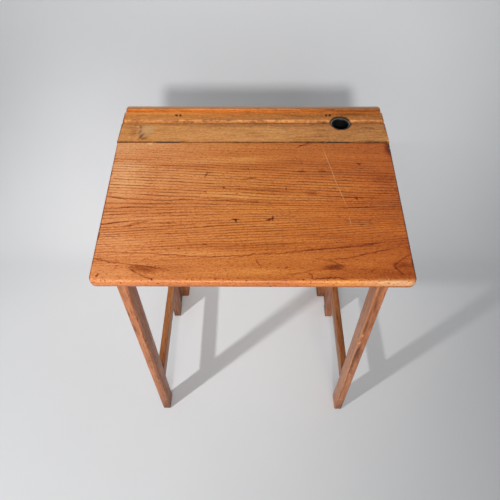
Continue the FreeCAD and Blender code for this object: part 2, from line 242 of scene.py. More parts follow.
left_leg_knocks = (
    # Dirt along the two arrises, saw lines across, a notch and a pale chip near the foot.
    (-261.5, 545, 90, 14, 3, 0.45), (-261.5, 480, 90, 26, 3.5, 0.50),
    (-262, 415, 90, 24, 3, 0.30), (-247.6, 440, 90, 300, 2.8, 0.55),
    (-252, 527, 0, 6, 2.5, 0.30), (-254, 322, 0, 7, 4, 0.35), (-254, 286, 0, 8, 4, 0.35),
    (-247.5, 220, 80, 9, 3, 0.70), (-248, 70, 30, 6, 4, -0.45), (-257, 60, 90, 50, 4, -0.12),
    # The middle of the leg is darker.
    (-257, 390, 90, 150, 8, 0.14),
)
right_leg_knocks = (
    # Blotches and a dark line down the inner arris, where two chips and the edge of the foot are
    # rubbed pale.
    (254, 580, 90, 30, 5, 0.30), (250, 490, 90, 36, 4, 0.30), (258, 500, 80, 20, 4, 0.25),
    (248.5, 455, 90, 9, 3.5, -0.80), (247.5, 420, 70, 9, 4, -0.80), (254, 362, 90, 55, 12, 0.35),
    (249, 300, 90, 120, 3.5, 0.40), (253, 245, 90, 22, 5, -0.20), (253, 76, 0, 11, 3, -0.60),
    (247, 130, 90, 40, 3, 0.25), (258, 170, 90, 60, 4, -0.12),
)
front_left_wood = leg_timber("red-brown varnished beech, left leg", 0.7, 0.0, left_leg_knocks)
front_right_wood = leg_timber("red-brown varnished beech, right leg", 3.7, 0.06, right_leg_knocks,
                              painted_light_inside=0.36)
rear_wood = leg_timber("red-brown varnished beech, rear", 6.1, 0.05)
eased("front_leg_left", upright_axis, leg_arris, front_left_wood)
eased("front_leg_right", upright_axis, leg_arris, front_right_wood)
for name in ("rear_leg_left", "rear_leg_right", "rear_post_left", "rear_post_right"):
    eased(name, upright_axis, leg_arris, rear_wood)


# Side stretchers: one low bar from each front leg to its rear leg, tenoned at both ends.
# The same beech with the grain running back, browner because less light and fewer hands reach it.

grain_back = (0.0, 0.0, math.radians(-90))
back_axis = 1
stretcher_wood, _ = timber("red-brown varnished beech, stretcher", grain_back,
                           ("#C68A54", "#AC6C3C", "#85491F", "#4C2A14"), leg_layers, 2.9)
for name in ("side_stretcher_left", "side_stretcher_right"):
    eased(name, back_axis, leg_arris, stretcher_wood)


# Book well: front board, sides and back, planed pine boards with a thin coat of varnish.
# The front is dowelled to the legs, the sides are tenoned into the rear legs, and the back is
# screwed to the posts. Glue blocks stiffen the front corners, and bearers carry the bottom.

grain_across = (0.0, 0.0, 0.0)
pine = ("#CE9059", "#B2723E", "#91582B", "#633A20")
bare_pine = ("#DDB682", "#C79A64", "#AC7F4C", "#7F5A33")
pine_layers = ((400, 60, 0.5), (260, 11, 0.8), (60, 5, 0.3))
pine_pores = 0.1
well_wood, _ = timber("thinly varnished pine", grain_across, pine, pine_layers, 5.3,
                      pore_depth=pine_pores, roughness=0.5)
well_side_wood, _ = timber("thinly varnished pine, sides", grain_back, pine, pine_layers, 8.1,
                           pore_depth=pine_pores, roughness=0.5)
block_wood, _ = timber("bare pine glue block", grain_up, bare_pine, pine_layers, 9.7,
                       pore_depth=pine_pores, roughness=0.6)
dress(["well_front", "well_back", "rail_batten"], well_wood)
dress(["well_side_left", "well_side_right", "bottom_bearer_left", "bottom_bearer_right"],
      well_side_wood)
dress(["corner_block_left", "corner_block_right"], block_wood)


# Bottom of the well: a sheet of birch plywood, face grain across the desk.
# Rotary cut, so the eye gets broad wandering figure and few pores, left bare and a little grey.

plywood_palette = ("#DEC197", "#C9A677", "#B08B5B", "#8A683F")
plywood_layers = ((300, 90, 0.6), (160, 24, 0.7), (30, 6, 0.2))
plywood, _ = timber("bare birch plywood", grain_across, plywood_palette, plywood_layers, 12.4,
                    pore_depth=0.1, roughness=0.62)
dress(["well_bottom"], plywood)


# Dowels: turned beech pegs, glued, with their ends hidden in the legs and the front board.
# Bare and pale, because neither light nor varnish has reached them.

dowel_palette = ("#DDBE94", "#CBA97C", "#B28C60", "#8F6D46")
dowel_wood, _ = timber("bare beech dowel", grain_back, dowel_palette, leg_layers, 14.2,
                       pore_depth=0.15, roughness=0.6)
dress(["leg_dowels"], dowel_wood)


# Pen rail: a level oak board behind the lid, with a ploughed pen groove and a bored seat for the
# inkwell. Its varnish is worn thin and dull, so it is paler than the lid, with dirt and painted
# shade in the groove and the joint, and painted light that falls off from left to right. A grey
# knot shows at the left, and small chips at the ends.

rail_palette = ("#F6B876", "#E09852", "#B06C35", "#4E2F19")
oak_layers = ((420, 55, 0.5), (240, 13, 0.35), (60, 5, 0.45), (7, 4.5, 0.6))
rail_wood, rail = timber("worn varnished oak, rail", grain_across, rail_palette, oak_layers, 21.5,
                         middle=0.36, pore_depth=0.15, roughness=0.48, specular=0.3)
rail_marks = (
    # Knot: pale in the middle, with dark specks and a brown rim on its left.
    (-241, 161, 0, 18, 20, -0.24), (-257, 153, 75, 12, 4.5, 0.65), (-252, 139, 60, 15, 5.5, 0.75),
    (-258, 169, 90, 8, 4.5, 0.60), (-246, 130, 10, 15, 6.5, 0.50), (-270, 152, 90, 26, 12, 0.18),
    (-285, 165, 90, 60, 30, 0.10),
    # Dirt and painted shade along the near side of the groove, and a far side rubbed more in some
    # places than in others.
    (0, 183, 0, 700, 2.5, 0.28), (0, 177, 0, 900, 10, 0.14), (0, 196, 0, 700, 3.5, 0.06),
    (0, 211, 0, 900, 15, 0.16), (-215, 195.5, 0, 130, 5, 0.22), (100, 195.5, 0, 70, 5, -0.20),
    (166, 191, 0, 12, 8, 0.30),
    # Nail holes, with the wood split pale between each two.
    (-180.5, 214.5, 0, 4.5, 5, 0.9), (-171.5, 214.5, 0, 4.5, 5, 0.9),
    (180.5, 214.5, 0, 4.5, 5, 0.9), (171.5, 214.5, 0, 4.5, 5, 0.9),
    (-176, 214.5, 0, 3, 3, -0.4), (176, 214.5, 0, 3, 3, -0.4),
    # Darker patches at the right, knocks on the ends and a chip at the front corner.
    (262, 168.5, -10, 30, 6, 0.2), (150, 136.5, 4, 60, 4, 0.15), (303, 176.5, 90, 40, 4, 0.35),
    (-304, 176.5, 90, 80, 4, 0.45), (303, 122.5, 0, 5, 5, -0.9), (230, 218, 0, 60, 8, 0.25),
    # Ink soaked into the edge of the inkwell seat.
    (202.5, 185.5, 0, 26.5, 26.5, 6.0),
)
tree, place = rail["tree"], rail["place"]
at = add(tree, "SeparateXYZ", {"Vector": place}).outputs
rail_figure = marks(tree, place, rail_marks)
# The far wall of the groove is bruised by pens into short dashes of about 8 mm.
bruises_per_m = 130.0
bruises = add(tree, "TexNoise", {"Vector": place, "Scale": bruises_per_m, "Detail": 2.0})
groove_wall = marks(tree, place, ((0, 195.5, 0, 900, 5, 1.0),))
bruise_dark = add(tree, "MapRange", {"Value": bruises, "From Min": 0.4, "From Max": 0.6,
                                     "To Min": 0.28, "To Max": -0.06})
bruised = add(tree, "Math", {0: bruise_dark, 1: groove_wall, 2: rail_figure},
              operation="MULTIPLY_ADD")
# Dirt and painted shade lie along the joint with the lid, and the rail is painted paler at its left
# end and darker at its right, for light that falls off from the key lamp at the left.
rail_joint_mark_from_y, joint_y = 0.1218, 0.1196
rail_joint_dirt_and_shade = add(tree, "MapRange", {"Value": at["Y"], "From Min": rail_joint_mark_from_y, "From Max": joint_y,
                                   "To Max": 0.33})
# Painted light: paler at the left end and darker at the right, as the key lamp's light falls off to
# the right.
rail_painted_falloff = add(tree, "MapRange", {"Value": at["X"], "From Min": -0.3, "From Max": 0.3,
                                  "To Min": -0.03, "To Max": 0.12})
rail_depth = rail["depth"]
for wear in (bruised, rail_joint_dirt_and_shade, rail_painted_falloff):
    rail_depth = add(tree, "Math", {0: rail_depth, 1: wear}, operation="ADD")
tree.links.new(result(rail_depth), rail["ramp"].inputs["Fac"])
knot_grey = 0.45
knot = add(tree, "Math", {0: marks(tree, place, ((-244, 158, 0, 24, 28, 0.9),)), 1: knot_grey},
           operation="MINIMUM")
rail_colour = add(tree, "Mix", {"Factor": knot, "A": rail["ramp"], "B": linear("#C09A6C")},
                  data_type="RGBA")
# Behind the groove, where no arm rubs, the varnish is whole and warmer.
groove_near_y, groove_far_y = 0.1890, 0.1930
warm = add(tree, "MapRange", {"Value": at["Y"], "From Min": groove_near_y,
                              "From Max": groove_far_y})
rail_colour = add(tree, "Mix", {"Factor": warm, "A": rail_colour, "B": linear("#FFF7E4")},
                  data_type="RGBA", blend_type="MULTIPLY")
tree.links.new(result(rail_colour), rail["shader"].inputs["Base Color"])
dress(["pen_rail"], rail_wood)


# Back lip: a planed oak strip fixed to the rail's back edge, orange where its varnish is whole.
# The back of its top is rubbed through to bare grey-brown wood, and its right end is duller.

lip_palette = ("#EC9C48", "#D57A2A", "#A45714", "#5A3014")
lip_wood, lip = timber("worn varnished oak, lip", grain_across, lip_palette, oak_layers, 24.9)
tree = lip["tree"]
at = add(tree, "SeparateXYZ", {"Vector": lip["place"]}).outputs
whole_z, crest_z = 0.7430, 0.7448
whole_y, rubbed_y = 0.2270, 0.2310
bright_x, dull_x = 0.12, 0.27
crest = add(tree, "MapRange", {"Value": at["Z"], "From Min": whole_z, "From Max": crest_z,
                               "To Max": 0.75})
far_side = add(tree, "MapRange", {"Value": at["Y"], "From Min": whole_y, "From Max": rubbed_y})
rubbed = add(tree, "Math", {0: crest, 1: far_side}, operation="MULTIPLY")
dulled = add(tree, "MapRange", {"Value": at["X"], "From Min": bright_x, "From Max": dull_x,
                                "To Max": 0.3})
lip_depth = add(tree, "Math", {0: lip["depth"], 1: dulled}, operation="ADD")
tree.links.new(result(lip_depth), lip["ramp"].inputs["Fac"])
lip_colour = add(tree, "Mix", {"Factor": rubbed, "A": lip["ramp"], "B": linear("#BE9468")},
                 data_type="RGBA")
tree.links.new(result(lip_colour), lip["shader"].inputs["Base Color"])
dress(["back_lip"], lip_wood)


# Nails, hinges and screws: plain steel, cut, folded or turned, and browned by age.
# The eye gets a near-black metal with brown rust bloom and soft broken highlights.

aged_steel, tree = new_tree("aged browned steel")
place = add(tree, "TexCoord").outputs["Object"]
rust_per_m = 420.0
rust = add(tree, "TexNoise", {"Vector": place, "Scale": rust_per_m, "Detail": 4.0})
bloom = add(tree, "MapRange", {"Value": rust, "From Min": 0.48, "From Max": 0.66})
colour = add(tree, "Mix", {"Factor": bloom, "A": linear("#3A3530"), "B": linear("#3F2616")},
             data_type="RGBA")
shine = add(tree, "MapRange", {"Value": rust, "To Min": 0.4, "To Max": 0.7})
metal = add(tree, "MapRange", {"Value": bloom, "To Min": 0.9, "To Max": 0.2})
shader = add(tree, "BsdfPrincipled", {"Base Color": colour, "Roughness": shine, "Metallic": metal})
add(tree, "OutputMaterial", {"Surface": shader})
dress(["rail_nails", "hinge_rail_leaf_left", "hinge_rail_leaf_right", "hinge_lid_leaf_left",
       "hinge_lid_leaf_right", "hinge_pin_left", "hinge_pin_right"], aged_steel)


# Screws in the back of the well and in the rail leaves of the hinges: slotted countersunk steel
# wood screws. The head is turned to a cone and sawn across, and each was driven until its slot
# lay as it happened to.

def slotted_screws():
    """Node tree that sets one slotted screw on every point, with its slot turned at random."""
    tree = bpy.data.node_groups.new("slotted screws", "GeometryNodeTree")
    socket_kinds = {"Heads": "Geometry", "Head radius": "Float", "Head depth": "Float",
                    "Shank radius": "Float", "Length": "Float", "Slot width": "Float",
                    "Slot depth": "Float", "Driven along": "Vector", "Metal": "Material"}
    for label, kind in socket_kinds.items():
        tree.interface.new_socket(label, in_out="INPUT", socket_type="NodeSocket" + kind)
    tree.interface.new_socket("Screws", in_out="OUTPUT", socket_type="NodeSocketGeometry")
    given = add(tree, "NodeGroupInput").outputs
    head = add(tree, "GeometryNodeMeshCone", {
        "Vertices": 24, "Radius Top": given["Shank radius"], "Radius Bottom": given["Head radius"],
        "Depth": given["Head depth"]})
    sunk = add(tree, "Math", {0: given["Head depth"], 1: 0.5}, operation="MULTIPLY")
    shank_length = add(tree, "Math", {0: given["Length"], 1: sunk}, operation="SUBTRACT")
    shank = add(tree, "GeometryNodeMeshCone", {
        "Vertices": 16, "Radius Top": 0.0, "Radius Bottom": given["Shank radius"],
        "Depth": shank_length})
    under_head = add(tree, "CombineXYZ", {"Z": sunk})
    shank = add(tree, "GeometryNodeTransform", {"Geometry": shank, "Translation": under_head})
    blank = add(tree, "GeometryNodeMeshBoolean", {"Mesh": head}, operation="UNION",
                solver="EXACT")
    tree.links.new(result(shank), next(i for i in blank.inputs if i.is_multi_input))
    # The saw runs out past both sides of the head, and half of its height is in the air.
    slot_length = add(tree, "Math", {0: given["Head radius"], 1: 3.0}, operation="MULTIPLY")
    slot_height = add(tree, "Math", {0: given["Slot depth"], 1: 2.0}, operation="MULTIPLY")
    slot_size = add(tree, "CombineXYZ", {"X": slot_length, "Y": given["Slot width"],
                                         "Z": slot_height})
    saw_cut = add(tree, "GeometryNodeMeshCube", {"Size": slot_size})
    screw = add(tree, "GeometryNodeMeshBoolean", {"Mesh 1": blank, "Mesh 2": saw_cut},
                operation="DIFFERENCE", solver="EXACT")
    aim = add(tree, "FunctionNodeAlignRotationToVector", {"Vector": given["Driven along"]},
              axis="Z")
    driven = add(tree, "GeometryNodeInstanceOnPoints", {"Points": given["Heads"],
                                                        "Instance": screw, "Rotation": aim})
    spin = add(tree, "FunctionNodeRandomValue", {"Min": 0.0, "Max": math.pi, "Seed": 7},
               data_type="FLOAT")
    spun = add(tree, "CombineXYZ", {"Z": spin})
    driven = add(tree, "GeometryNodeRotateInstances", {"Instances": driven, "Rotation": spun})
    real = add(tree, "GeometryNodeRealizeInstances", {"Geometry": driven})
    finished = add(tree, "GeometryNodeSetMaterial", {"Geometry": real, "Material": given["Metal"]})
    add(tree, "NodeGroupOutput", {0: finished})
    return tree


def drive(node, body, heads, direction, **sizes):
    """Screws with their heads at these points, in place of a packed group."""
    points = bpy.data.meshes.new(node + "_slotted")
    points.from_pydata([tuple(p) for p in heads], [], [])
    holder = bpy.data.objects.new(node + "_slotted", points)
    bpy.context.scene.collection.objects.link(holder)
    modifier = holder.modifiers.new("screws", "NODES")
    modifier.node_group = screw_tree
    inputs = {"Driven along": direction, "Metal": aged_steel,
              **{key.replace("_", " ").capitalize(): size for key, size in sizes.items()}}
    for item in screw_tree.interface.items_tree:
        if item.in_out == "INPUT" and item.name in inputs:
            modifier[item.identifier] = inputs[item.name]
    seen = holder.evaluated_get(bpy.context.evaluated_depsgraph_get())
    mesh = bpy.data.meshes.new_from_object(seen)
    holder.modifiers.clear()
    holder.data = mesh
    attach(holder, body)
    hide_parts(node)
    dress([node], aged_steel)


screw_tree = slotted_screws()
back_y, back_screw_x, back_screw_z = 0.2375, 0.2445, (0.620, 0.658, 0.696)
back_screw = {"head_radius": 0.0034, "head_depth": 0.0020, "shank_radius": 0.0018,
              "length": 0.032, "slot_width": 0.0009, "slot_depth": 0.0010}
back_heads = [(side * back_screw_x, back_y, z) for side in (-1, 1) for z in back_screw_z]
drive("well_back_screws", "desk", back_heads, (0.0, -1.0, 0.0), **back_screw)
hinge_x, hinge_screw_step, leaf_face_y, leaf_middle_z = 0.190, 0.016, 0.1178, 0.7264
hinge_screw_x = [side * hinge_x + step * hinge_screw_step
                 for side in (-1, 1) for step in (-1, 0, 1)]
hinge_screw = {"head_radius": 0.0024, "head_depth": 0.0011, "shank_radius": 0.0012,
               "length": 0.014, "slot_width": 0.0007, "slot_depth": 0.0006}
rail_leaf_heads = [(x, leaf_face_y, leaf_middle_z) for x in hinge_screw_x]
drive("rail_hinge_screws", "desk", rail_leaf_heads, (0.0, 1.0, 0.0), **hinge_screw)


# Lid: one wide plain-sawn oak board with a rounded nose, hinged to the pen rail.
# Honey varnish over close straight rings, which open into the pointed figure of the heart near
# the nose. Years of use have left ink marks, a long pale scratch and dark worn edges.

lid_palette = ("#EDBB88", "#D3864F", "#9E5123", "#421F0D")
lid_layers = ((420, 60, 0.5), (220, 10, 0.18), (140, 2.8, 0.16), (3.6, 2.8, 0.5))
lid_wood, lid = timber("honey varnished oak, lid", grain_across, lid_palette, lid_layers, 31.3,
                       middle=0.34, pore_mm=(8, 2.4), pore_depth=0.2, roughness=0.4,
                       specular=0.36)
tree, place = lid["tree"], lid["place"]
at = add(tree, "SeparateXYZ", {"Vector": place}).outputs
# Height above the hinge axis, square to the board: its top is at +2 mm and its underside at -17 mm.
lid_slope, hinge_axis, lid_top = math.radians(5.5), Vector((0.0, 0.1169, 0.7340)), 0.002
square_to_lid = (0.0, -math.sin(lid_slope), math.cos(lid_slope))
from_axis = add(tree, "VectorMath", {0: place, 1: hinge_axis}, operation="SUBTRACT")
height = add(tree, "VectorMath", {0: from_axis, 1: square_to_lid},
             operation="DOT_PRODUCT").outputs["Value"]
coat_end, coat_whole = -0.014, -0.008
topside = add(tree, "MapRange", {"Value": height, "From Min": coat_end, "From Max": coat_whole})
# Slow and quick waver of the rings and the breaks in them, by waves per metre along and across.
sway, wander, breaks = (
    add(tree, "TexNoise", {"Vector": add(tree, "Mapping", {"Vector": place, "Scale": waves}),
                           "Scale": 1.0, "Detail": 2.0})
    for waves in ((4.0, 22.0, 1.0), (11.0, 70.0, 1.0), (17.0, 130.0, 1.0)))
# Rings fall to the right in the middle of the board and rise to the right near the nose.
rising_y, falling_y, rise, fall = -0.1135, -0.0335, -0.07, 0.05
tilt = add(tree, "MapRange", {"Value": at["Y"], "From Min": rising_y, "From Max": falling_y,
                              "To Min": rise, "To Max": fall})
swayed = add(tree, "Math", {0: at["X"], 1: tilt, 2: at["Y"]}, operation="MULTIPLY_ADD")
# They also run aslant through the thickness, which shows on the sawn ends.
sway_reach, wander_reach, slant = 0.012, 0.0035, 0.8
below_top = add(tree, "Math", {0: height, 1: lid_top}, operation="SUBTRACT")
for drift, amount in ((sway, sway_reach), (wander, wander_reach), (below_top, slant)):
    swayed = add(tree, "Math", {0: drift, 1: amount, 2: swayed}, operation="MULTIPLY_ADD")
ring_pitch_back, ring_pitch_nose, pitch_change_y, ring_weight = 0.0074, 0.0060, -0.0535, 0.6
past_change = add(tree, "Math", {0: swayed, 1: pitch_change_y}, operation="SUBTRACT")
nose_part = add(tree, "Math", {0: past_change, 1: 0.0}, operation="MINIMUM")
rings = add(tree, "Math", {0: swayed, 1: 1 / ring_pitch_back}, operation="MULTIPLY")
rings = add(tree, "Math", {0: nose_part, 1: 1 / ring_pitch_nose - 1 / ring_pitch_back, 2: rings},
            operation="MULTIPLY_ADD")
# Late wood takes up two fifths of a ring. It is broken here and there, and fades to both edges.
in_ring = add(tree, "Math", {0: rings}, operation="FRACT")
late_wood, faintest, fullest = 0.40, 0.3, 1.05
faint_back_y, full_back_y, full_nose_y, plain_nose_y = 0.0815, 0.0415, -0.1150, -0.1935
ring_dark = add(tree, "MapRange", {"Value": in_ring, "From Max": late_wood, "To Min": 1.0,
                                   "To Max": 0.0}, interpolation_type="SMOOTHSTEP")
broken = add(tree, "MapRange", {"Value": breaks, "From Min": 0.38, "From Max": 0.62,
                                "To Min": faintest, "To Max": fullest})
back_fade = add(tree, "MapRange", {"Value": swayed, "From Min": faint_back_y,
                                   "From Max": full_back_y, "To Min": 0.25, "To Max": 1.0})
nose_fade = add(tree, "MapRange", {"Value": swayed, "From Min": plain_nose_y,
                                   "From Max": full_nose_y})
for fade in (broken, back_fade, nose_fade):
    ring_dark = add(tree, "Math", {0: ring_dark, 1: fade}, operation="MULTIPLY")
ringed = add(tree, "Math", {0: ring_dark, 1: ring_weight, 2: lid["depth"]},
             operation="MULTIPLY_ADD")


def along(points, half_width, dark):
    """Strokes that follow a line of points, each a little past its ends."""
    pieces = []
    for (x0, y0), (x1, y1) in zip(points, points[1:]):
        turn, length = math.degrees(math.atan2(y1 - y0, x1 - x0)), math.hypot(x1 - x0, y1 - y0)
        pieces.append(((x0 + x1) / 2, (y0 + y1) / 2, turn, 0.8 * length, half_width, dark))
    return tuple(pieces)


heart_lines = (
    # The last ring line before the heart.
    (((-283, -173.5), (-195, -176), (-157, -179), (-114, -183), (-70, -183), (-20, -181),
      (8, -176.5), (55, -175), (102, -169), (163, -161.5), (209, -157), (250, -149)), 2.3, 0.42),
    # Pointed figure at the left, at the right and at the right end.
    (((-302, -188), (-271, -195), (-233, -201), (-204, -204), (-166, -211)), 2.6, 0.34),
    (((-229.5, -210), (-214, -220.5), (-195.5, -229), (-184, -231.5)), 2.6, 0.36),
    (((121, -186.5), (148, -191), (171, -203.5)), 2.4, 0.26),
    (((151, -188), (183, -185), (234, -171.5), (270, -164)), 2.4, 0.34),
    (((168, -208), (112, -212), (90, -219), (63, -221)), 3.0, 0.24),
    (((106, -217.5), (112, -223), (111, -229)), 2.0, 0.45),
    (((113.5, -230), (133, -229), (157, -227.5), (178, -232)), 2.0, 0.50),
    (((300, -177), (273, -195), (264.5, -202), (273, -212), (283, -224)), 2.6, 0.30),
)
lid_marks = sum((along(*line) for line in heart_lines), ()) + (
    # Dark hearts of the pointed figure.
    (-206, -211, -10, 36, 10, 0.30), (-170, -211, 0, 80, 13, 0.15), (153, -204.5, 4, 28, 6.5, 0.44),
    (284, -201, 0, 24, 9, 0.22),
    # Darker ring dashes in the middle of the board.
    (-5, -17.5, -3, 110, 2.2, 0.40), (195, -38.5, -3, 90, 2.6, 0.50),
    (-40, -46.5, -4, 100, 2.2, 0.40), (210, -65.5, 2, 50, 2.6, 0.50), (-4, 11.5, -2, 18, 2.4, 0.60),
    (-226, -104.5, 10, 26, 3.0, 0.40), (-170, -105.5, 0, 40, 2.2, 0.35),
    (60, -153.5, 2, 120, 2.4, 0.20),
    # Ink and iron marks.
    (-34, -95.5, 0, 10, 2.8, 0.95), (-33, -98.5, 90, 7, 2.4, 0.95), (34, -96.5, 10, 9, 3.6, 0.80),
    (40.5, -91.5, 90, 8, 2.0, 0.85), (-99, 21.5, 70, 11, 3.0, 0.50), (-92, 27.5, 10, 9, 2.6, 0.35),
    (-10, 37.5, 0, 3.5, 3.0, 0.60), (228, 52.5, -45, 6, 2.4, 0.75), (105, 30.5, 0, 13, 4.0, 0.45),
    (150, 30.5, 0, 14, 4.0, 0.45), (70, -16.5, 90, 9, 1.8, 0.60), (108, 106.5, 25, 20, 3.0, 0.50),
    (-60, -14.5, 0, 4, 3.0, 0.60), (-98, -25.5, 0, 4, 3.0, 0.50), (-33, -30.5, 0, 4, 3.0, 0.50),
    (213, -42.5, 0, 5, 3.0, 0.60), (-92, -155.5, -25, 9, 2.2, 0.50),
    (10, -195.5, -60, 14, 1.8, 0.45), (63, -207.5, 20, 7, 2.2, 0.40),
    (-288, -224.5, 60, 6, 3.0, 0.70),
    # Broad darker and golden patches of the varnish.
    (275, 11.5, 0, 45, 28, 0.20), (123, -28.5, 0, 18, 9, 0.25), (-130, 44.5, 0, 150, 14, 0.14),
    (-30, -160, 0, 210, 16, 0.16), (-10, -34.5, -2, 190, 14, -0.20), (-30, 64.5, 4, 160, 20, -0.14),
    (-270, 6.5, 90, 90, 60, -0.14), (20, -215.5, 0, 160, 16, -0.18),
    (215, -198.5, 0, 60, 14, -0.12),
    # Grime and knocks along the side edges.
    (305, -43.5, 90, 330, 5, 0.65), (302, 98, 90, 36, 15, 0.55), (-305, -53.5, 90, 330, 5.5, 0.65),
    (-304, 28.5, 90, 12, 5, 0.4), (-304, -136.5, 90, 14, 6, 0.5), (304, -193.5, 90, 12, 6, 0.5),
    # Paler strokes along the nose: varnish rubbed off it, and painted light at its right end,
    # standing in for light from the right.
    (-275, -236, 0, 60, 8, -0.02), (285, -236, 0, 80, 9, -0.34), (180, -236, 0, 140, 7, -0.38),
)
worn = add(tree, "Math", {0: marks(tree, place, lid_marks), 1: topside, 2: ringed},
           operation="MULTIPLY_ADD")
# Dirt and painted shade in the joint, less of it further down, and a little painted shade under the
# nose.
lid_joint_mark_from_y, lid_joint_y, joint_depth = 0.1145, 0.1159, 0.006
nose_y, nose_tip_y, dented_from_y, dented_y = -0.2350, -0.2373, -0.2285, -0.2320
joint_side = add(tree, "MapRange", {"Value": at["Y"], "From Min": lid_joint_mark_from_y,
                                    "From Max": lid_joint_y})
joint_mouth = add(tree, "MapRange", {"Value": height, "From Min": -joint_depth, "From Max": 0.0,
                                     "To Min": 0.15})
lid_joint_dirt_and_shade = add(tree, "Math", {0: joint_side, 1: joint_mouth}, operation="MULTIPLY")
nose_shade = add(tree, "MapRange", {"Value": at["Y"], "From Min": nose_y, "From Max": nose_tip_y,
                                    "To Max": 0.05})
# Painted light: the board is paler at its left end and at the back and darker at its right end and
# the front, standing for light from the key lamp at the left and brighter light on the back.
painted_light_left = add(tree, "MapRange", {"Value": at["X"], "From Min": -0.3, "From Max": 0.1,
                                  "To Min": -0.05, "To Max": -0.02})
painted_shade_right = add(tree, "MapRange", {"Value": at["X"], "From Min": 0.1, "From Max": 0.3,
                                  "To Max": 0.1})
painted_light_back = add(tree, "MapRange", {"Value": at["Y"], "From Min": -0.20, "From Max": 0.11,
                                "To Min": 0.05, "To Max": -0.06})
for wear in (lid_joint_dirt_and_shade, nose_shade, painted_light_left, painted_shade_right, painted_light_back):
    worn = add(tree, "Math", {0: worn, 1: wear}, operation="ADD")
# Small dents with dirt in them, about 5 mm apart along the nose.
dents_per_m = 190.0
dents = add(tree, "TexNoise", {"Vector": place, "Scale": dents_per_m, "Detail": 1.0})
dent_dirt = add(tree, "MapRange", {"Value": dents, "From Min": 0.65, "From Max": 0.72,
                                   "To Max": 0.5})
on_nose = add(tree, "MapRange", {"Value": at["Y"], "From Min": dented_from_y,
                                 "From Max": dented_y})
worn = add(tree, "Math", {0: dent_dirt, 1: on_nose, 2: worn}, operation="MULTIPLY_ADD")
tree.links.new(result(worn), lid["ramp"].inputs["Fac"])
lid_scratches = (
    along(((154.5, 95), (165.5, 49), (175, 1.5), (190, -57)), 1.3, 0.55)
    + along(((167, 105), (176.5, 80)), 1.2, 0.3)
    + ((194, -98.5, -86, 14, 1.5, 0.45), (-229.5, 112, 0, 8, 3.5, 1.8), (0, 7.5, -1, 14, 1.6, 0.5),
       (215, -69, 2, 36, 1.5, 0.35), (302, 100.5, 90, 3, 3, 0.8))
)
pale = add(tree, "Math", {0: marks(tree, place, lid_scratches, ragged=0.001), 1: 1.0},
           operation="MINIMUM")
# From left to right the colour is multiplied by a ramp from near white to yellow: the paler, greyer
# left end is painted sheen and light from the key lamp.
end_to_end = add(tree, "MapRange", {"Value": at["X"], "From Min": -0.28, "From Max": 0.28})
tint = add(tree, "ValToRGB", {"Fac": end_to_end})
spread(tint, ("#FFF9F0", "#FFEBB2", "#FFDA9A"))
# At the right end of the nose the yellow tint is left off, so the wood shows pinkish and paler
# there: bare wood where the varnish is gone, and painted light at that end.
bare = marks(tree, place, ((275, -237, 0, 90, 10, 1.3),))
varnish = add(tree, "Math", {0: 1.0, 1: bare}, operation="SUBTRACT", use_clamp=True)
toned = add(tree, "Mix", {"Factor": varnish, "A": lid["ramp"], "B": tint}, data_type="RGBA",
            blend_type="MULTIPLY")
lid_colour = add(tree, "Mix", {"Factor": pale, "A": toned, "B": linear("#E8BE84")},
                 data_type="RGBA")
# The underside has one thin coat, and is browner.
under = add(tree, "Mix", {"Factor": 1.0, "A": lid["ramp"], "B": linear("#D6C3AC")},
            data_type="RGBA", blend_type="MULTIPLY")
board_colour = add(tree, "Mix", {"Factor": topside, "A": under, "B": lid_colour},
                   data_type="RGBA")
tree.links.new(result(board_colour), lid["shader"].inputs["Base Color"])
dress(["lid_board"], lid_wood)


# Screws in the lid leaves of the hinges: the same steel screws as those in the rail leaves.
# They are driven through the leaf, square into the back edge of the lid.

on_lid = Matrix.Translation(hinge_axis) @ Matrix.Rotation(lid_slope, 4, "X")
into_lid = on_lid.to_3x3() @ Vector((0.0, -1.0, 0.0))
lid_leaf_face_y, lid_leaf_middle_z = -0.0009, -0.0076
lid_leaf_heads = [on_lid @ Vector((x, lid_leaf_face_y, lid_leaf_middle_z)) for x in hinge_screw_x]
drive("lid_hinge_screws", "lid", lid_leaf_heads, into_lid, **hinge_screw)


# Lid battens: two planed pine strips with a thin coat of varnish, as on the sides of the well.
# Three screws each hold them across the underside of the lid, to keep it flat.

dress(["lid_batten_left", "lid_batten_right"], well_side_wood)
batten_screw_x, batten_screw_y, batten_face_z = 0.150, (-0.22809, -0.14304, -0.0580), -0.033
batten_screw = {"head_radius": 0.0036, "head_depth": 0.0022, "shank_radius": 0.0019,
                "length": 0.028, "slot_width": 0.0009, "slot_depth": 0.0011}
batten_heads = [on_lid @ Vector((side * batten_screw_x, y, batten_face_z))
                for side in (-1, 1) for y in batten_screw_y]
up_to_lid = on_lid.to_3x3() @ Vector((0.0, 0.0, 1.0))
drive("lid_batten_screws", "lid", batten_heads, up_to_lid, **batten_screw)


# Inkwell pot: a pressed and glazed stoneware pot with a rolled rim, loose in its seat in the rail.
# The eye gets a dull grey-green glaze with fine specks, and a black inside that is dried ink and
# painted shade of the hollow.

glaze, tree = new_tree("grey-green glazed stoneware")
place = add(tree, "TexCoord").outputs["Object"]
specks_per_m = 300.0
speck = add(tree, "TexNoise", {"Vector": place, "Scale": specks_per_m, "Detail": 3.0})
pot_axis, wall_radius, rim_radius = (0.2025, 0.1855, 0.0), (0.0184, 0.0190), (0.0200, 0.0212)
rim_bottom_z, wall_z, near_rim_shade_y, glazed_y = 0.7310, 0.7295, -0.008, 0.010
from_axis = add(tree, "VectorMath", {0: place, 1: pot_axis}, operation="SUBTRACT")
flat = add(tree, "VectorMath", {0: from_axis, 1: (1.0, 1.0, 0.0)}, operation="MULTIPLY")
radius = add(tree, "VectorMath", {0: flat}, operation="LENGTH").outputs["Value"]
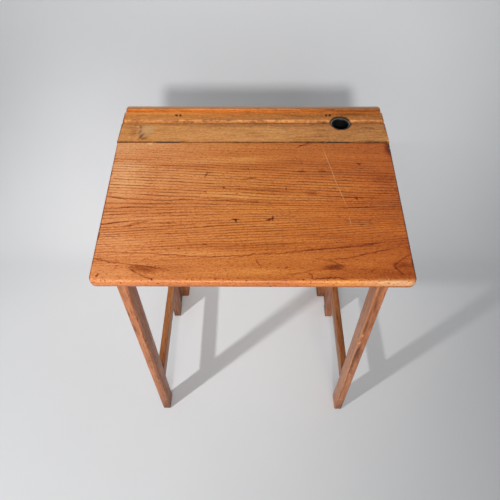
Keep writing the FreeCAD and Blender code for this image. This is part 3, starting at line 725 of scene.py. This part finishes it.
# Ink and painted shade darken the rim, so that only the outer edge of its far side shows the glaze:
# the near side is painted shade.
clean_edge = add(tree, "MapRange", {"Value": radius, "From Min": rim_radius[0],
                                    "From Max": rim_radius[1]}, interpolation_type="SMOOTHSTEP")
at = add(tree, "SeparateXYZ", {"Vector": from_axis}).outputs
far_rim_unshaded = add(tree, "MapRange", {"Value": at["Y"], "From Min": near_rim_shade_y, "From Max": glazed_y,
                                   "To Min": 0.15})
rim_glaze_shows = add(tree, "Math", {0: clean_edge, 1: far_rim_unshaded}, operation="MULTIPLY")
# Below the rim only the outside of the pot shows the glaze; the inside is painted black, as dried
# ink and as the shade in the hollow.
outside = add(tree, "MapRange", {"Value": radius, "From Min": wall_radius[0],
                                 "From Max": wall_radius[1]})
below_rim = add(tree, "MapRange", {"Value": at["Z"], "From Min": rim_bottom_z,
                                   "From Max": wall_z})
clean = add(tree, "Math", {0: outside, 1: below_rim, 2: rim_glaze_shows}, operation="MULTIPLY_ADD",
            use_clamp=True)
ink_and_painted_shade = add(tree, "Math", {0: 1.0, 1: clean}, operation="SUBTRACT")
body = add(tree, "Mix", {"Factor": speck, "A": linear("#A9AEA4"), "B": linear("#7D837A")},
           data_type="RGBA")
colour = add(tree, "Mix", {"Factor": ink_and_painted_shade, "A": body, "B": linear("#131212")}, data_type="RGBA")
shine = add(tree, "MapRange", {"Value": speck, "To Min": 0.25, "To Max": 0.5})
shader = add(tree, "BsdfPrincipled", {"Base Color": colour, "Roughness": shine})
add(tree, "OutputMaterial", {"Surface": shader})
dress(["inkwell_pot"], glaze)


# Floor and backdrop: one sweep of pale matt paper with a faint mottle, creased behind the desk,
# where it turns up in a wide cove. It shows only from its front, so that the desk can be looked
# at from behind as well, over the same paper laid flat.

floor_half_width, flat_drop, wall_top_z = 4.0, 0.0005, 3.0
crease_y, crease_angle, cove_radius, cove_steps = 0.32, math.radians(20), 1.0, 16
cove = [crease_angle + (math.pi / 2 - crease_angle) * i / cove_steps
        for i in range(cove_steps + 1)]
profile = [(-floor_half_width, 0.0)]
profile += [(crease_y + cove_radius * (math.sin(a) - math.sin(crease_angle)),
             cove_radius * (math.cos(crease_angle) - math.cos(a))) for a in cove]
profile += [(profile[-1][0], wall_top_z)]
points = [(side * floor_half_width, y, z) for y, z in profile for side in (-1, 1)]
faces = [(2 * i, 2 * i + 1, 2 * i + 3, 2 * i + 2) for i in range(len(profile) - 1)]
flat_start = len(points)
points += [(x * floor_half_width, y * floor_half_width, -flat_drop)
           for x, y in ((-1, -1), (1, -1), (1, 1), (-1, 1))]
faces.append(tuple(range(flat_start, len(points))))
sweep_mesh = bpy.data.meshes.new("paper_sweep")
sweep_mesh.from_pydata(points, [], faces)
sweep_mesh.polygons.foreach_set("use_smooth", [True] * len(faces))
sweep = bpy.data.objects.new("paper_sweep", sweep_mesh)
bpy.context.scene.collection.objects.link(sweep)
paper, tree = new_tree("pale matt paper")
place = add(tree, "TexCoord").outputs["Object"]
mottle_per_m = 3.0
mottle = add(tree, "TexNoise", {"Vector": place, "Scale": mottle_per_m, "Detail": 3.0})
colour = add(tree, "Mix", {"Factor": mottle, "A": linear("#D6D6D8"), "B": linear("#DCDCDC")},
             data_type="RGBA")
front = add(tree, "BsdfPrincipled", {"Base Color": colour, "Roughness": 0.9})
behind = add(tree, "NewGeometry").outputs["Backfacing"]
shader = add(tree, "MixShader", {0: behind, 1: front, 2: add(tree, "BsdfTransparent")})
add(tree, "OutputMaterial", {"Surface": shader})
sweep.data.materials.append(paper)


# Studio light: a small key lamp at the left front, turned to the left so that it fades to the
# right, a lamp far in front whose beam throws the shadow of the lip on the paper, a large soft
# panel below it and a pale room all round.

def lamp(name, kind, place, aim, watts, **settings):
    """A lamp at a place, turned to what it is aimed at."""
    light = bpy.data.lights.new(name, kind)
    light.energy = watts
    for key, value in settings.items():
        setattr(light, key, value)
    holder = bpy.data.objects.new(name, light)
    turn = (Vector(aim) - Vector(place)).to_track_quat("-Z", "Y")
    holder.matrix_world = Matrix.Translation(place) @ turn.to_matrix().to_4x4()
    bpy.context.scene.collection.objects.link(holder)


floor_left, over_the_lip, desk_back = (-0.75, -0.4, 0.25), (-0.02, 0.85, 0.66), (0.0, 0.2, 0.7)
lamp("key_lamp", "SPOT", (-1.94, -1.61, 2.65), floor_left, 252.0,
     spot_size=math.radians(45), spot_blend=1.0, shadow_soft_size=0.07)
lamp("front_lamp", "SPOT", (-0.12, -4.1, 3.2), over_the_lip, 480.0,
     spot_size=math.radians(30), spot_blend=1.0, shadow_soft_size=0.2)
lamp("front_panel", "AREA", (0.1, -2.6, 1.9), desk_back, 29.0, size=1.6)
world = bpy.data.worlds.new("pale room")
bpy.context.scene.world = world
world.use_nodes = True
room = world.node_tree.nodes["Background"].inputs
room["Color"].default_value = linear("#F2FAFF")
room["Strength"].default_value = 0.26


# Camera: above and in front of the desk, as the photograph was taken.
# Its place, turn and focal length are fitted to the desk's straight edges.

picture_width_px, focal_px = 500, 488.313
camera_place, pitch_down, roll, yaw = (0.00262, -0.74665, 1.44258), 0.903019, 0.006676, -0.012434
lens = bpy.data.cameras.new("camera")
lens.sensor_width = 36.0
lens.lens = focal_px * lens.sensor_width / picture_width_px
lens.clip_end = 50.0
camera = bpy.data.objects.new("camera", lens)
camera.matrix_world = (Matrix.Translation(camera_place) @ Matrix.Rotation(-yaw, 4, "Z")
                       @ Matrix.Rotation(math.pi / 2 - pitch_down, 4, "X")
                       @ Matrix.Rotation(-roll, 4, "Z"))
bpy.context.scene.collection.objects.link(camera)
bpy.context.scene.camera = camera
bpy.context.scene.view_settings.view_transform = "Standard"
